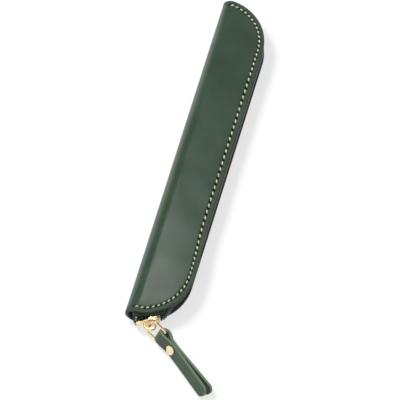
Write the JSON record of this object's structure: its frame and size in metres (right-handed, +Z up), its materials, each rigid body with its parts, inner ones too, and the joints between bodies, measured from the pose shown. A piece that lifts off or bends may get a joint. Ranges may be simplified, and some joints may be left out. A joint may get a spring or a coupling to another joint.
{
  "type": "pencil pouch",
  "caption": "Slim folded leather pencil pouch, closed round its open edges by a coil zip, with a metal slider, a wire bail and a riveted leather strap pull.",
  "frame": {"origin": "on the back panel's flat underside, in the middle of the pouch's width and length", "axes": "+X runs across the pouch from the folded spine to the long zip side, +Y along it from the end with the slider to the far end, +Z up from the back panel to the front panel"},
  "size_m": [0.0577, 0.2363, 0.0149],
  "materials": {
    "green_leather": "smooth dark green leather with a soft sheen, lighter along its cut edges",
    "green_tape": "woven dark green zip tape",
    "green_nylon": "satin dark green nylon of the coils and the moulded stops",
    "cream_thread": "waxed pale green-cream thread",
    "gold_metal": "polished gold plating"
  },
  "bodies": {
    "back_panel": {"leather_back": "green_leather", "zip_tape_back": "green_tape", "zip_coil_back": "green_nylon", "seam_thread_back": "cream_thread", "bobbin_thread_back": "cream_thread", "top_stop_back": "green_nylon", "bottom_stop": "green_nylon"},
    "front_panel": {"leather_front": "green_leather", "zip_tape_front": "green_tape", "zip_coil_front": "green_nylon", "seam_thread_front": "cream_thread", "bobbin_thread_front": "cream_thread", "top_stop_front": "green_nylon"},
    "slider": {"slider_body": "gold_metal"},
    "bail": {"pull_bail": "gold_metal"},
    "strap": {"pull_strap": "green_leather", "rivet_cap": "gold_metal", "rivet_base": "gold_metal"}
  },
  "joints": [
    {"name": "front_open", "type": "hinge", "parent": "back_panel", "child": "front_panel", "pos_m": [-0.015, 0, 0.00725], "axis": [0, -1, 0], "range_deg": [0, 100], "deforming": ["zip_tape_front", "zip_coil_front"]},
    {"name": "slider_travel", "type": "hinge", "parent": "back_panel", "child": "slider", "pos_m": [-0.0125, -0.0725, 0.00725], "axis": [0, 0, 1], "range_deg": [0, 66], "deforming": ["zip_tape_back", "zip_coil_back"]},
    {"name": "pull_swing", "type": "hinge", "parent": "slider", "child": "bail", "pos_m": [0.00018, -0.1036, 0.00725], "axis": [0.328, 0.3774, 0.866], "range_deg": [-75, 40]},
    {"name": "strap_swing", "type": "hinge", "parent": "bail", "child": "strap", "pos_m": [0.00812, -0.10856, 0.0064], "axis": [0.328, 0.3774, 0.866], "range_deg": [-75, 45]}
  ]
}
